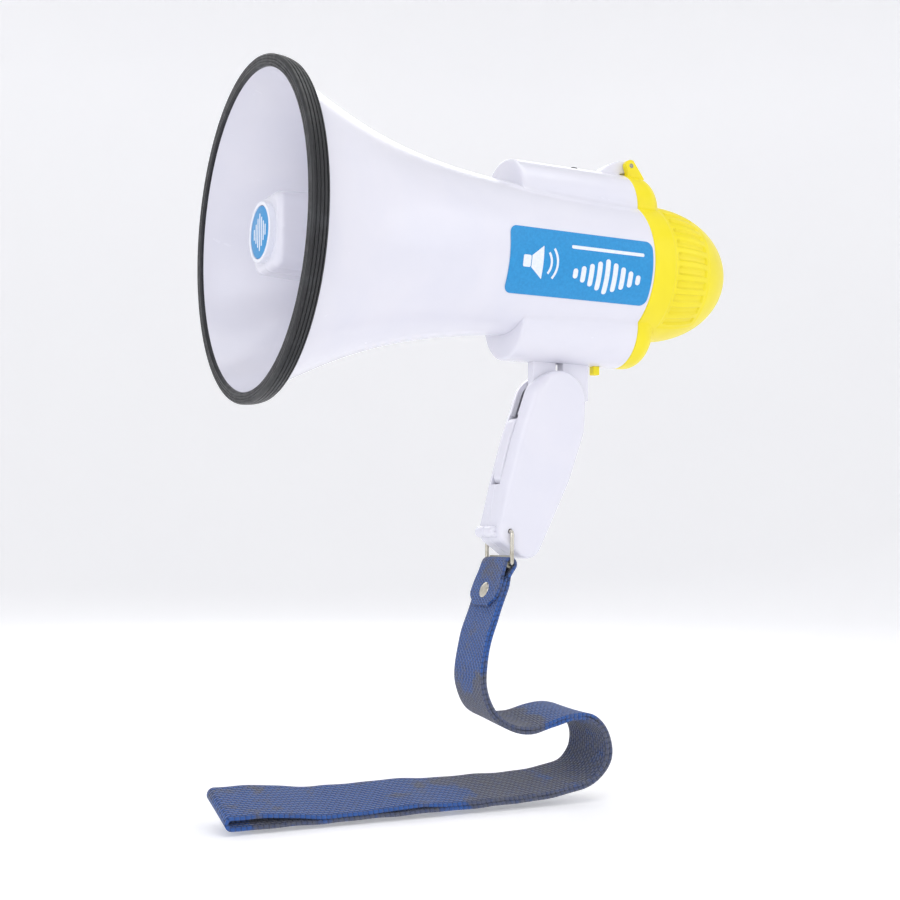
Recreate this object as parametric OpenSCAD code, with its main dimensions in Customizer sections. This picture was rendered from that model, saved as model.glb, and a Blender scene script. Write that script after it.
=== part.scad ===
// Handheld megaphone: reflex horn, twin battery barrels, hinged rear cap, folding pistol grip, wrist strap.
// +X runs from the bell to the rear cap, +Z is up, and the origin is the middle of the grip.

/* [Horn] */
// Outer radius of the rubber rim guard
rim_r = 72; // [71:0.5:76]
// Length of the horn body, from the bell mouth to its seam with the rear cap
body_len = 182; // [176:1:190]
// Outer radius of the barrel
barrel_r = 32; // [31.5:0.5:33]
// How much wider the bell is than the barrel at its mouth
flare = 37; // [35:0.5:38]
// Length over which the bell flares out
flare_len = 55; // [50:1:60]
// How sharply the flare turns outwards
flare_pow = 1.28; // [1.1:0.02:1.4]
// Wall of the bell and of the moulded shells
wall = 1.8; // [1.6:0.1:2]

/* [Battery barrels] */
// Outer radius of each battery barrel
lump_r = 18.5; // [18:0.5:19]
// Height of a battery barrel's axis above or below the horn's axis
lump_z = 27.5; // [27:0.5:28]
// Where the battery barrels begin, from the bell mouth
lump_x = 121; // [118:1:122]

/* [Rear cap] */
// Length of the rear cap's dome behind the seam
dome_len = 57; // [50:1:60]
// Number of finger recesses on each side of the dome
cap_recesses = 10; // [6:1:10]
// Distance from the bell mouth to the cap's hinge pin
cap_pin_x = 186; // [185.5:0.5:187]
// Height of the cap's hinge pin above the horn's axis
cap_pin_z = 49.8; // [49.5:0.1:50.5]

/* [Grip] */
// Distance from the bell mouth to the grip's pivot
pivot_x = 147; // [145:1:149]
// Depth of the grip's pivot below the horn's axis
pivot_drop = 62.5; // [62:0.5:64]
// Angle by which the foot of the grip leans towards the bell
rake = 19; // [15:1:22]
// Half of the grip's thickness
grip_half = 10; // [9.5:0.5:11]
// Distance from the grip's pivot down to the middle of the hand
grip_mid = 34; // [30:1:38]

/* [Wrist strap] */
// Width of the webbing
strap_w = 25; // [20:1:25]
// Thickness of the doubled webbing
strap_t = 3.6; // [3:0.2:4]

/* [Hidden] */
eps = 0.02;
fit = 0.05;
mould = [0.95, 0.94, 0.97];
yellow = [0.93, 0.86, 0.1];
black = [0.08, 0.08, 0.09];
blue = [0.1, 0.5, 0.8];
webbing = [0.12, 0.28, 0.55];
steel = [0.7, 0.7, 0.68];

// Bell and barrel
rim_w = 7.8;
mouth_x = 1.6;
throat_x = 98;
lump_bore_r = lump_r - wall;
bell_steps = 26;

// AA cells, three to a barrel in a triangle
cell_r = 7.1;
cell_len = 49.4;
cell_x = 130.5;
cell_ring = 8.5;

// Dome of the rear cap and the closed ends of its battery lobes, upper and lower
lobe_ends = [197, 194];
lobe_corner = 8;
dome_x = body_len + 12;
cap_wall = 2;
recess_step = 11.5;
dome_steps = 16;

// Grip outline: discs as [x, z, radius] from the pivot, along the raked grip
grip_discs = [[-0.4, -1, 13.4], [3.8, -12, 12.4], [3.4, -33, 12.6], [3.8, -67.3, 7.8], [-5.4, -65.6, 6.8]];
// Discs of its front, which rounds over further towards the outer faces
front_discs = [[-5, -3.5, 11.3], [-4.6, -26, 11.7], [-6, -46, 9.2]];
grip_wall = 2.2;
ear_r = 14;
// Ends of the bracket along the horn, and the gap between its two feet
bracket_x = [135.4, 165.2];
bracket_gap = [147.5, 151.2];
bracket_foot_r = 12.4;
tongue_half = 2.6;
pin_r = 2.5;
ring_hole = [-6.2, -66.2];
ring_half = 11.4;
wire_r = 0.9;
trigger_pin_at = [-9.6, -42.4];
trigger_half = 3.5;
screws_at = [[8, -24], [7.5, -47], [3.6, -66.5]];

// Frame: the middle of the grip is the origin
origin_x = pivot_x - grip_mid * sin(rake);
origin_z = -pivot_drop - grip_mid * cos(rake);

// Middle line of the doubled strap, [x from the bell mouth, height], from the ring to its free end
strap_route = [[119, -140], [115.5, -149], [112, -158.5], [108, -170], [105.5, -181], [105.7, -191],
               [110, -200.5], [118.5, -206.5], [129, -208], [140, -205.5], [151, -204], [161, -206.5],
               [167, -214], [167, -225], [160, -233], [147, -236.5], [130, -238], [112, -238.5],
               [94, -238.7], [75, -238.8], [56, -238.9], [38, -239], [20, -239], [5, -239], [-7, -238.8]];

// Places a part drawn from the bell mouth and the horn's axis into the frame
module framed() translate([-origin_x, 0, -origin_z]) children();

// Turns a profile drawn as [radius, distance from the bell mouth] about the horn's axis
module turned() rotate([0, 90, 0]) rotate_extrude($fn = 96) children();

// Cylinder along +X, from x, on an axis at height z
module rod_x(x, z, r, length) translate([x, 0, z]) rotate([0, 90, 0]) cylinder(r = r, h = length, $fn = 64);

// Cylinder across the part, centred on y = 0
module rod_y(x, z, r, length) translate([x, 0, z]) rotate([90, 0, 0])
    cylinder(r = r, h = length, center = true, $fn = 48);

// Box from its corner limits
module box(x, y, z) translate([x[0], y[0], z[0]]) cube([x[1] - x[0], y[1] - y[0], z[1] - z[0]]);

// Places a part drawn from the pivot along the raked grip into the frame
module on_grip() framed() translate([pivot_x, 0, -pivot_drop]) rotate([0, rake, 0]) children();

function bell_r(x) = barrel_r + flare * exp(-pow(x / flare_len, flare_pow));
function bell_line(x0, x1, inset) =
    [for (i = [0:bell_steps]) let (x = x0 + (x1 - x0) * i / bell_steps) [bell_r(x) - inset, x]];

module bell_solid(x0, x1, inset) turned()
    polygon(concat([[0, x0]], bell_line(x0, x1, inset), [[0, x1]]));

module horn_body() color(mould) framed() difference() {
    union() {
        bell_solid(mouth_x, body_len, 0);
        for (side = [-1, 1]) rod_x(lump_x, side * lump_z, lump_r, body_len - lump_x);
        hinge_lug();
    }
    bell_solid(mouth_x - 1, body_len + 1, wall);
    for (side = [-1, 1]) rod_x(lump_x + wall, side * lump_z, lump_bore_r, body_len);
    rod_y(cap_pin_x, cap_pin_z, 1.25, 20);
    // Slot that the bracket's tongue is pressed into
    box([bracket_x[0] - fit, bracket_x[1] + fit], [-tongue_half - fit, tongue_half + fit], [-50, -40]);
    // Slots for the latch, the function slider, the volume wheel and the record button
    box([168, 172.2], [-2.2, 2.2], [-50, -40]);
    box([152, 164], [-2.2, 2.2], [43, 50]);
    box([157.5, 178.5], [20, 40], [-2.2, 2.2]);
    translate([140, 20, 0]) rotate([-90, 0, 0]) cylinder(r = 5.1, h = 20, $fn = 48);
}

// Lug on top of the upper battery barrel that carries the cap's hinge pin
module hinge_lug() rotate([90, 0, 0]) linear_extrude(8, center = true) union() {
    polygon([[170, 45], [176.5, 49.5], [cap_pin_x - 1.4, cap_pin_z + 2.6], [cap_pin_x, 46.6],
             [181.9, 46.6], [181.9, 44.5]]);
    translate([cap_pin_x, cap_pin_z]) circle(r = 3, $fn = 40);
}

module rim_guard() color(black) framed() turned() difference() {
    polygon([[66.8, 0.6], [67.6, 0], [71.2, 0], [rim_r, 1.4], [71.6, 2.6], [rim_r - 0.1, 3.4], [71.3, 4.6],
             [71.5, 5.4], [70.6, 6.4], [70.2, 7.4], [69.2, rim_w], [bell_r(rim_w) + fit, rim_w],
             [bell_r(rim_w / 2) + fit, rim_w / 2], [bell_r(mouth_x) + fit, mouth_x],
             [66.8, mouth_x]]);
    translate([rim_r - 0.4, 4]) circle(r = 0.3, $fn = 16);
}

// Bulkhead at the throat with the tone tube that leads sound forward into the reflector
module tone_tube() color(mould) framed() {
    difference() {
        union() {
            bell_solid(throat_x, throat_x + 3, wall + fit);
            rod_x(34, 0, 9.4, throat_x - 33);
            turned() polygon([[9, throat_x - 14], [11, throat_x - 8], [16, throat_x - 3],
                              [25, throat_x + 0.1], [9, throat_x + 0.1]]);
            intersection() {
                for (turn = [0, 90]) rotate([turn + 45, 0, 0]) box([44, 60], [-20, 20], [-0.8, 0.8]);
                rod_cone(16, 60, 13 - fit, 16.2 - fit);
            }
        }
        rod_x(30, 0, 7.6, 80);
        for (turn = [45:90:315]) rotate([turn, 0, 0]) translate([throat_x - 1, 0, 24.5]) rotate([0, 90, 0])
            cylinder(r = 1.1, h = 6, $fn = 24);
    }
}

// Cone along +X with radius r0 at x0 and r1 at x1
module rod_cone(x0, x1, r0, r1) translate([x0, 0, 0]) rotate([0, 90, 0])
    cylinder(r1 = r0, r2 = r1, h = x1 - x0, $fn = 64);

module rounded_square(half, corner, x, thick) translate([x, 0, 0]) rotate([0, 90, 0])
    linear_extrude(thick) hull() for (a = [-1, 1], b = [-1, 1])
        translate([a * (half - corner), b * (half - corner)]) circle(r = corner, $fn = 32);

// Block in the middle of the bell that turns the sound back into the flare
module reflector_plug() color(mould) framed() difference() {
    union() {
        hull() {
            rounded_square(13.4, 6, 7.4, 0.4);
            rounded_square(16, 7, 10.5, 0.4);
            rounded_square(18.6, 8, 60, 0.4);
        }
        for (turn = [0, 90]) rotate([turn, 0, 0]) box([12, 60], [-0.7, 0.7], [-18.2, 18.2]);
    }
    rod_cone(16, 61, 13, 16.25);
    rod_x(5, 0, 12.8, 3.4);
}

module plug_ring() color("white") framed() difference() {
    rod_x(4.6, 0, 12.75, 3.8);
    rod_x(4, 0, 11.05, 1.4);
}

module plug_badge() color(blue) framed() rod_x(4.9, 0, 11, 0.5);

module driver_gasket() color(black) framed() difference() {
    rod_x(throat_x + 3.05, 0, 27.5, 1.2);
    rod_x(throat_x, 0, 20, 8);
    driver_screw_holes(1.8);
}

module driver_screw_holes(r) for (turn = [45:90:315]) rotate([turn, 0, 0])
    translate([throat_x, 0, 24.5]) rotate([0, 90, 0]) cylinder(r = r, h = 12, $fn = 24);

// Pressed basket of the driver
module driver_frame() color(steel) framed() difference() {
    turned() polygon([[20, 102.3], [27.5, 102.3], [27.5, 103.5], [22.5, 103.5], [19, 112], [19, 115],
                      [6, 115], [6, 113.8], [17.6, 113.8], [17.6, 111.5], [20, 105]]);
    driver_screw_holes(1.7);
}

module driver_diaphragm() color([0.8, 0.7, 0.4]) framed() turned()
    polygon([[0, 104], [9, 105.5], [12, 107.5], [17.8, 104.6], [19.9, 103], [19.9, 103.4], [18, 105.1],
             [12, 108], [8.6, 106], [0, 104.5]]);

module driver_magnet() color([0.25, 0.25, 0.27]) framed() {
    turned() difference() {
        polygon([[5.9, 115.05], [17, 115.05], [17, 125.5], [5.9, 125.5]]);
        translate([16.5, 117.5]) square([1, 0.6]);
    }
    rod_x(109.5, 0, 5.8, 16);
}

module driver_screws() color(steel) framed() for (turn = [45:90:315]) rotate([turn, 0, 0])
    translate([0, 0, 24.5]) {
        rod_x(99.5, 0, 1.05, 4.1);
        rod_x(103.55, 0, 1.9, 1.4);
    }

// Turn of each cell about its battery barrel's axis: two cells lie outwards and one inwards
function cell_turn(side, k) = 90 + side * (120 * k - 30);

module cells(side) for (k = [0:2]) framed() translate([0, 0, side * lump_z])
    rotate([cell_turn(side, k), 0, 0]) {
        rod_x(cell_x, cell_ring, cell_r, cell_len);
        rod_x(cell_x + (k == 1 ? -1 : cell_len), cell_ring, 2.6, 1);
    }

module upper_cells() color([0.25, 0.5, 0.3]) cells(1);
module lower_cells() color([0.25, 0.5, 0.3]) cells(-1);

// Front wall and floor that keep the cells off the driver and the circuit board
module cell_tray(side) framed() scale([1, 1, side]) {
    intersection() {
        rod_x(127.2, lump_z, lump_bore_r - 0.1, 1.5);
        box([120, 140], [-20, 20], [9.5, 50]);
    }
    box([128.7, 180], [-9, 9], [9.7, 11]);
}

module upper_cell_tray() color(black) cell_tray(1);
module lower_cell_tray() color(black) cell_tray(-1);

// Sprung contact plates on the front walls of the trays
module tray_contacts() color(steel) framed() for (side = [-1, 1], k = [0:2])
    translate([0, 0, side * lump_z]) rotate([cell_turn(side, k), 0, 0]) rod_x(128.75, cell_ring, 4, 0.5);

module amp_board() color([0.1, 0.4, 0.2]) framed() difference() {
    box([132, 178], [-20, 15], [-0.8, 0.8]);
    for (x = [136, 174]) translate([x, -15, -2]) cylinder(r = 1.5, h = 4, $fn = 24);
}

// Posts that hold the board off the lower tray
module board_standoffs() color(mould) framed() for (x = [136, 174]) translate([x, -15, -13.5])
    difference() {
        union() {
            cylinder(r = 3, h = 12.6, $fn = 32);
            translate([-2, -12.2, 1]) cube([4, 10, 10]);
        }
        translate([0, 0, 4]) cylinder(r = 1.1, h = 12, $fn = 24);
    }

// Output transformer, capacitors and amplifier chip, each on the board
module board_components() color([0.15, 0.15, 0.3]) framed() {
    box([139, 152], [-10, 4], [0.8, 8.6]);
    for (x = [157, 164]) translate([x, -6, 0.8]) cylinder(r = 2.6, h = 8, $fn = 32);
    box([155, 167], [4, 10], [0.8, 3.4]);
    box([144, 156], [-6, 2], [-3, -0.8]);
}

module volume_pot() color(black) framed() {
    box([163, 173], [15.1, 26], [-6, -2.1]);
    translate([168, 25.5, -2.2]) cylinder(r = 1.5, h = 4.4, $fn = 32);
}

// Thumb wheel that stands out of the far side of the barrel
module volume_wheel() color(mould) framed() translate([168, 25.5, -1.8]) difference() {
    cylinder(r = 9.2, h = 3.6, $fn = 96);
    translate([0, 0, -1]) cylinder(r = 1.5 + fit, h = 6, $fn = 32);
    for (turn = [0:15:345]) rotate([0, 0, turn]) translate([9.5, 0, -1]) cylinder(r = 0.6, h = 6, $fn = 16);
}

module record_switch() color(black) framed() box([137, 143], [15.1, 18.4], [-3, 3]);

module record_button() color([0.8, 0.15, 0.12]) framed() translate([140, 19.8, 0]) rotate([-90, 0, 0]) {
    cylinder(r = 5, h = 13.8, $fn = 48);
    translate([0, 0, 7.2]) cylinder(r = 6.4, h = 1.2, $fn = 48);
}

module function_switch() color(steel) framed() box([151, 165], [-2.6, 2.6], [39.2, 42]);

// Three-way slide knob for talk, siren and playback
module function_slider() color(black) framed() {
    box([156.4, 159.6], [-1.9, 1.9], [43.4, 46.9]);
    box([150, 166], [-3.4, 3.4], [42.1, 43.4]);
}

// Printed label on the near side of the barrel, a thin curved skin
module side_label() color(blue) framed() intersection() {
    difference() {
        bell_solid(100, body_len, -0.35);
        bell_solid(99, body_len + 1, -fit);
    }
    rotate([12, 0, 0]) translate([142.5, -40, 0]) rotate([90, 0, 0]) linear_extrude(30, center = true)
        hull() for (a = [-1, 1], b = [-1, 1]) translate([a * 34.5, b * 11]) circle(r = 3.5, $fn = 32);
}

// Bracket under the lower barrel: a tongue with a round foot that the grip's ears swing on
module handle_bracket() color(mould) framed() difference() {
    rotate([90, 0, 0]) linear_extrude(2 * tongue_half, center = true) difference() {
        union() {
            translate([bracket_x[0], -pivot_drop]) square([bracket_x[1] - bracket_x[0], pivot_drop - 44]);
            translate([pivot_x, -pivot_drop]) circle(r = bracket_foot_r, $fn = 96);
        }
        translate([bracket_gap[0], -51.5]) square([bracket_gap[1] - bracket_gap[0], 6]);
    }
    rod_y(pivot_x, -pivot_drop, pin_r + fit, 20);
}

module cap_hinge_pin() color(steel) framed() rod_y(cap_pin_x, cap_pin_z, 1.2, 15.2);

// Dome profile: a short straight skirt that closes in a rounded nose
function dome_r(x) = let (u = (x - dome_x) / (body_len + dome_len - dome_x))
    (barrel_r + 0.4) * (u <= 0 ? 1 : pow(1 - pow(u, 2.2), 0.52));
function dome_line(inset) = [for (i = [0:dome_steps])
    let (a = 90 * i / dome_steps, span = body_len + dome_len - dome_x, x = dome_x + span * sin(a))
    [max(0, dome_r(x) - (i == dome_steps ? 0 : inset)), x - inset * sin(a)]];

module dome_solid(x0, inset) turned()
    polygon(concat([[0, x0], [barrel_r + 0.4 - inset, x0]], dome_line(inset)));

// Rounded end of a battery barrel on the cap
module lobe_solid(x0, x1, r, corner) turned() polygon(concat([[0, x0], [r, x0]],
    [for (a = [0:15:90]) [r - corner + corner * cos(a), x1 - corner + corner * sin(a)]], [[0, x1]]));

module lobes(x0, inset) for (side = [-1, 1]) translate([0, 0, side * lump_z])
    lobe_solid(x0, lobe_ends[side > 0 ? 0 : 1] - inset, lump_r - inset, lobe_corner - inset);

// Yellow rear cap: dome over the microphone and the closed ends of both battery barrels
module rear_cap() color(yellow) framed() {
    difference() {
        union() {
            dome_solid(body_len + eps, 0);
            lobes(body_len + eps, 0);
            for (side = [-1, 1]) translate([0, side * 5.9, 0]) cap_arm();
        }
        difference() {
            union() {
                dome_solid(body_len - 1, cap_wall);
                lobes(body_len - 1, cap_wall);
            }
            // Web that carries the two catch prongs
            box([184, 187], [-4, 4], [-50, -38.8]);
        }
        rod_y(cap_pin_x, cap_pin_z, 1.2 + fit, 30);
        for (side = [0, 180], k = [0:cap_recesses - 1])
            rotate([side + (k - (cap_recesses - 1) / 2) * recess_step, 0, 0]) finger_recess();
        for (z = [-6:3:6]) box([228, 245], [-7 + abs(z) / 3, 7 - abs(z) / 3], [z - 0.6, z + 0.6]);
    }
    for (side = [-1, 1]) box([173, 185], [side * 3.2 - 0.8, side * 3.2 + 0.8], [-40.2, -39]);
}

// Hinge arm of the cap, beside the lug
module cap_arm() rotate([90, 0, 0]) linear_extrude(3.2, center = true) difference() {
    union() {
        translate([cap_pin_x, cap_pin_z]) circle(r = 3, $fn = 40);
        polygon([[cap_pin_x - 2.6, cap_pin_z - 1.6], [184, 44], [191, 42.5], [193.6, 44.2],
                 [cap_pin_x + 1.8, cap_pin_z + 2.4]]);
    }
    translate([180, 40]) square([2.1, 6]);
}

// Shallow axial recess, cut on the near side and turned to each place
module finger_recess() {
    translate([0, -barrel_r - 0.4, 0]) box([195.2, 204.5], [-1, 1.1], [-1.75, 1.75]);
    translate([204, -dome_r(204), 0]) rotate([0, 0, 12.5]) box([0, 9.4], [-1, 1.1], [-1.75, 1.75]);
}

// Tapered contact springs that close the ends of the battery barrels against the cells
module cap_contacts() color(steel) framed() for (side = [-1, 1], k = [0:2])
    translate([0, 0, side * lump_z]) rotate([cell_turn(side, k), 0, 0])
        translate([0, 0, cell_ring]) rod_cone(183, lobe_ends[side > 0 ? 0 : 1] - 2.5, 2.6, 3.4);

module mic_capsule() color(steel) framed() rod_x(214, 0, 4.9, 5);

module mic_foam() color(black) framed() difference() {
    rod_x(214.5, 0, 8, 9);
    rod_x(214, 0, 5, 5.05);
}

// Press button under the lower barrel that frees the cap
module latch_button() color(yellow) framed() {
    box([168.4, 171.8], [-1.9, 1.9], [-49.9, -40.2]);
    box([166, 172.2], [-3.6, 3.6], [-43.4, -42.6]);
}

module grip_outline(inset) hull() for (d = concat(grip_discs, front_discs)) translate([d[0], d[1]])
    circle(r = d[2] - inset, $fn = 32);

// Rounded edges of the grip: [distance in from the outer face, inset of the outline there]
grip_edge = [[0, 2], [0.4, 1.1], [1.2, 0.4], [2.6, 0]];
front_edge = [[0, 4.2], [0.6, 3], [2.4, 1.3], [6.4, 0]];

module grip_disc(d, e) rotate([90, 0, 0]) translate([d[0], d[1], 0])
    cylinder(r = d[2] - e[1], h = 2 * (grip_half - e[0]), center = true, $fn = 32);

module grip_solid() hull() {
    for (d = grip_discs, e = grip_edge) grip_disc(d, e);
    for (d = front_discs, e = front_edge) grip_disc(d, e);
}

// One half of the grip: side is -1 for the left shell and 1 for the right one
module grip_shell(side) on_grip() difference() {
    union() {
        difference() {
            grip_solid();
            rotate([90, 0, 0]) linear_extrude(2 * (grip_half - grip_wall), center = true)
                grip_outline(grip_wall);
        }
        rod_y(0, 0, 5.4, 2 * grip_half - 2);
        for (s = screws_at) rod_y(s[0], s[1], 3.4, 2 * grip_half - 2);
        rod_y(ring_hole[0], ring_hole[1], 3.4, 2 * grip_half - 3);
        rod_y(trigger_pin_at[0], trigger_pin_at[1], 2.4, 2 * grip_half - 3);
        box([-4.1, -2.5], [-9, 9], [-31, -25]);
        rod_y(-12, -68.4, 2.6, 2 * grip_half - 5);
    }
    grip_cuts();
    translate([-40, side > 0 ? -40 : 0, -100]) cube([80, 40, 140]);
    if (side > 0) for (s = screws_at) translate([s[0], grip_half - 3, s[1]]) rotate([-90, 0, 0])
        cylinder(r = 2.8, h = 5, $fn = 32);
}

// Everything cut out of both halves: the tongue's slot, the trigger's slot and the bores
module grip_cuts() {
    rod_y(0, 0, ear_r + 0.4, 2 * tongue_half + 0.9);
    box([-22, 0], [-3.05, 3.05], [-15, 20]);
    box([-22, 22], [-3.05, 3.05], [0, 20]);
    box([-24, -9], [-3.9, 3.9], [-47, -14]);
    box([-9.1, -6.8], [-3.9, 3.9], [-45.4, -15]);
    rod_y(0, 0, pin_r + eps, 17);
    rod_y(trigger_pin_at[0], trigger_pin_at[1], 1 + eps, 16);
    rod_y(ring_hole[0], ring_hole[1], wire_r + 0.3, 40);
    for (s = screws_at) rod_y(s[0], s[1], 1.45, 15);
}

module grip_shell_left() color(mould) grip_shell(-1);
module grip_shell_right() color(mould) grip_shell(1);

module pivot_pin() color(steel) on_grip() rod_y(0, 0, pin_r, 16.8);

// Friction washers between the ears and the tongue
module pivot_washers() color(black) on_grip() for (side = [-1, 1]) translate([0, side * 2.85, 0])
    difference() {
        rod_y(0, 0, 5.2, 0.34);
        rod_y(0, 0, pin_r + fit, 2);
    }

module grip_screws() color(steel) on_grip() for (s = screws_at) translate([s[0], 0, s[1]]) {
    translate([0, -5, 0]) rotate([-90, 0, 0]) cylinder(r = 1.4, h = 12, $fn = 32);
    translate([0, 7, 0]) rotate([-90, 0, 0]) cylinder(r = 2.6, h = 1.8, $fn = 32);
}

// Talk trigger: a long lever along the front of the grip, hinged at its foot
module trigger() color(mould) on_grip() difference() {
    union() {
        rotate([90, 0, 0]) linear_extrude(2 * trigger_half, center = true) polygon([
            [-13.6, -15.2], [-16.2, -15.6], [-17.3, -18], [-17.3, -26], [-16.7, -36], [-15.6, -44],
            [-13, -46.2], [-9.2, -45.4], [-9.2, -18], [-11.5, -15.4]]);
        rod_y(trigger_pin_at[0], trigger_pin_at[1], 2.3, 2 * trigger_half);
    }
    difference() {
        box([-15, -5], [-2.2, 2.2], [-39, -17]);
        box([-15, -9.6], [-1, 1], [-22, -20.5]);
    }
    rod_y(trigger_pin_at[0], trigger_pin_at[1], 1 + fit, 20);
}

module trigger_pin() color(steel) on_grip() rod_y(trigger_pin_at[0], trigger_pin_at[1], 1, 15.6);

// Return spring between the trigger and a rib of the grip
module trigger_spring() color(steel) on_grip() translate([-14.9, 0, -28]) rotate([0, 90, 0])
    linear_extrude(10.7, twist = 360 * 5, slices = 60) translate([1.5, 0]) circle(r = 0.35, $fn = 8);

module trigger_switch() color(black) on_grip() {
    box([-6.6, 0.4], [-3.4, 3.4], [-25, -17]);
    box([-7.6, -6.6], [-1, 1], [-22.2, -20.3]);
}

// Rectangular wire ring through the foot of the grip
module strap_ring() color(steel) ring_framed() {
    rod_y(0, 0, wire_r, 2 * ring_half);
    rod_y(0, -14.6, wire_r, 2 * ring_half);
    for (side = [-1, 1]) translate([0, side * ring_half, -14.6]) {
        cylinder(r = wire_r, h = 14.6, $fn = 32);
        sphere(r = wire_r, $fn = 32);
        translate([0, 0, 14.6]) sphere(r = wire_r, $fn = 32);
    }
}

// Places a part drawn from the ring's hole, hanging straight down
module ring_framed() on_grip() translate([ring_hole[0], 0, ring_hole[1]]) rotate([0, -rake, 0]) children();

// Folded steel clasp over the lower side of the ring, clamped on the webbing
module ring_plate() color(steel) ring_framed() difference() {
    union() {
        rod_y(0, -14.6, 1.7, 19);
        box([0.4, 1.3], [-9.5, 9.5], [-14.6, -10.6]);
    }
    rod_y(0, -14.6, wire_r + eps, 30);
}

// Directions and normals along the strap's middle line
function strap_tangent(i) = let (n = len(strap_route) - 1, d = strap_route[min(i + 1, n)]
    - strap_route[max(i - 1, 0)]) d / norm(d);
function strap_loop(i) = let (p = strap_route[i], t = strap_tangent(i), m = [-t[1], t[0]])
    [for (c = [[1, -0.7], [1, 0.7], [0.9, 1], [-0.9, 1], [-1, 0.7], [-1, -0.7], [-0.9, -1], [0.9, -1]])
        [p[0] + m[0] * c[1] * strap_t / 2, c[0] * strap_w / 2, p[1] + m[1] * c[1] * strap_t / 2]];

// Doubled webbing hanging from the ring and laid out on the ground
module wrist_strap() color(webbing) framed() polyhedron(
    points = [for (i = [0:len(strap_route) - 1]) each strap_loop(i)],
    faces = concat([[for (k = [7:-1:0]) k]],
        [for (i = [0:len(strap_route) - 2], k = [0:7])
            [i * 8 + k, i * 8 + (k + 1) % 8, (i + 1) * 8 + (k + 1) % 8, (i + 1) * 8 + k]],
        [[for (k = [0:7]) (len(strap_route) - 1) * 8 + k]]));

module strap_rivet() color(steel) framed() translate([strap_route[1][0], 0, strap_route[1][1]])
    rotate([0, -90 + atan2(strap_tangent(1)[0], -strap_tangent(1)[1]) + 180, 0]) {
        translate([0, 0, strap_t / 2 + 0.05]) cylinder(r = 3.6, h = 0.9, $fn = 48);
        translate([0, 0, -strap_t / 2 - 0.95]) cylinder(r = 3.6, h = 0.9, $fn = 48);
    }

horn_body();
rim_guard();
tone_tube();
reflector_plug();
plug_ring();
plug_badge();
driver_gasket();
driver_frame();
driver_diaphragm();
driver_magnet();
driver_screws();
upper_cells();
lower_cells();
upper_cell_tray();
lower_cell_tray();
tray_contacts();
amp_board();
board_standoffs();
board_components();
volume_pot();
volume_wheel();
record_switch();
record_button();
function_switch();
function_slider();
side_label();
handle_bracket();
cap_hinge_pin();
rear_cap();
cap_contacts();
mic_capsule();
mic_foam();
latch_button();
grip_shell_left();
grip_shell_right();
pivot_pin();
pivot_washers();
grip_screws();
trigger();
trigger_pin();
trigger_spring();
trigger_switch();
strap_ring();
ring_plate();
wrist_strap();
strap_rivet();
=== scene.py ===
import math

import bmesh
import bpy
from mathutils import Matrix, Vector


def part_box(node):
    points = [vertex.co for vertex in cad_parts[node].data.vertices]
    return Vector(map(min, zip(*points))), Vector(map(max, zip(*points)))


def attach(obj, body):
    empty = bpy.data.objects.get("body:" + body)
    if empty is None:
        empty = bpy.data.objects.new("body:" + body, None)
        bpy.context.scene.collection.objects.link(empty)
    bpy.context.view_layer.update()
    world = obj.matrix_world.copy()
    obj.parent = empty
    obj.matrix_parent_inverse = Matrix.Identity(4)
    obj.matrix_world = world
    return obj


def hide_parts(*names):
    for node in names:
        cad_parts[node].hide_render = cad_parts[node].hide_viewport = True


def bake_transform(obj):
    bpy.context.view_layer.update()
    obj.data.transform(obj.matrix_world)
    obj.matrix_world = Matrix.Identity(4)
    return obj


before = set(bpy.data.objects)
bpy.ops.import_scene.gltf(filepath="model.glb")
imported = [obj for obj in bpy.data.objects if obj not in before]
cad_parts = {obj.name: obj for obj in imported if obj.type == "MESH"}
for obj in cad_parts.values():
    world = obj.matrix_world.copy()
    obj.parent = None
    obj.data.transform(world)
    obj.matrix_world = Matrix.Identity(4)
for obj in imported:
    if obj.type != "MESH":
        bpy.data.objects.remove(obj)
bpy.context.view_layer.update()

# ---------------------------------------------------------------- places and sizes, in millimetres
MM = 0.001
RIM_LOW, RIM_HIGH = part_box("rim_guard")
PIN_LOW, PIN_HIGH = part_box("pivot_pin")
FRONT_X = RIM_LOW.x
AXIS_Z = (RIM_LOW.z + RIM_HIGH.z) / 2
PIVOT_X = ((PIN_LOW.x + PIN_HIGH.x) / 2 - FRONT_X) / MM
PIVOT_Z = ((PIN_LOW.z + PIN_HIGH.z) / 2 - AXIS_Z) / MM
RAKE = math.radians(19)
FLOOR_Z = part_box("wrist_strap")[0].z - 3.2 * MM

BARREL_R = 32
FLARE, FLARE_LEN, FLARE_POWER = 37, 55, 1.28
WALL = 1.8
MOUTH_X, LUMP_X, SEAM_X = 1.6, 121, 182
LUMP_R, LUMP_Z = 18.5, 27.5
DOME_X, DOME_LEN, DOME_R = 194, 45, 32.4
CAP_WALL = 2
LOBE_ENDS = (197, 194)
LOBE_CORNER = 8
RIM_R, RIM_W = 72, 7.8
HINGE_X, HINGE_Z = 186, 49.8
LABEL_X, LABEL_TURN = 142.5, math.radians(12)
GRIP_HALF = 10
# Discs [along, up, radius] whose hull is the grip; the last three are its front, which rounds over more
GRIP_DISCS = ((-0.4, -1, 13.4), (3.8, -12, 12.4), (3.4, -33, 12.6), (3.8, -67.3, 7.8), (-5.4, -65.6, 6.8),
              (-5, -3.5, 11.3), (-4.6, -26, 11.7), (-6, -46, 9.2))
FIRST_FRONT_DISC = 5
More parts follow.
